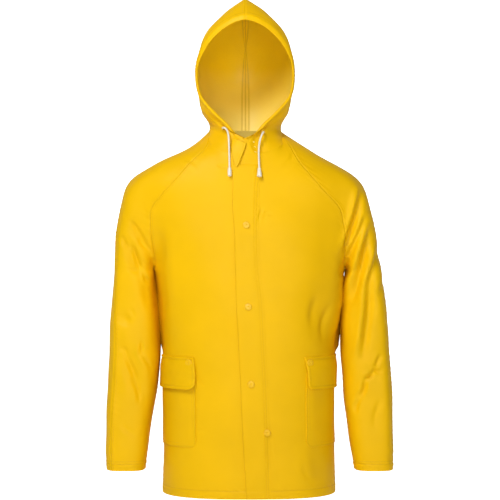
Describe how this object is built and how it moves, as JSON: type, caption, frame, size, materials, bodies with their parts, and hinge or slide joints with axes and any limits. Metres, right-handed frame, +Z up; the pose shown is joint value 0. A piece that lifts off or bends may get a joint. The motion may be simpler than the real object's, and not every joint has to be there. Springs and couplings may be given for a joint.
{
  "type": "hooded raincoat",
  "caption": "Hooded raincoat of coated cloth with raglan sleeves, a storm flap over a snap front, patch pockets with flaps, and a drawcord hood, filled out as if worn.",
  "frame": {"origin": "middle of the neck, at the height where the hood is sewn to the coat", "axes": "+Z up along the wearer's height, +X to the wearer's left, +Y to the wearer's back, so the front faces -Y"},
  "size_m": [0.6238, 0.2853, 1.0714],
  "materials": {
    "coated_cloth": "satin coating, bright yellow",
    "yellow_plastic": "glossy",
    "white_plastic": "satin",
    "white_cord": "braided"
  },
  "bodies": {
    "root": {"front_left": "coated_cloth", "front_right": "coated_cloth", "back": "coated_cloth", "sleeve_left_front": "coated_cloth", "sleeve_left_back": "coated_cloth", "sleeve_right_front": "coated_cloth", "sleeve_right_back": "coated_cloth", "hood_left": "coated_cloth", "hood_right": "coated_cloth", "hood_casing_left": "coated_cloth", "hood_casing_right": "coated_cloth", "storm_flap": "coated_cloth", "throat_tab": "coated_cloth", "pocket_left": "coated_cloth", "pocket_right": "coated_cloth", "pocket_flap_left": "coated_cloth", "pocket_flap_right": "coated_cloth", "snap_1": "yellow_plastic", "snap_2": "yellow_plastic", "snap_3": "yellow_plastic", "snap_4": "yellow_plastic", "pocket_snap_left": "yellow_plastic", "pocket_snap_right": "yellow_plastic", "eyelet_left": "yellow_plastic", "eyelet_right": "yellow_plastic", "drawcord_left": "white_cord", "drawcord_right": "white_cord", "cord_end_left": "white_plastic", "cord_end_right": "white_plastic"}
  },
  "joints": []
}
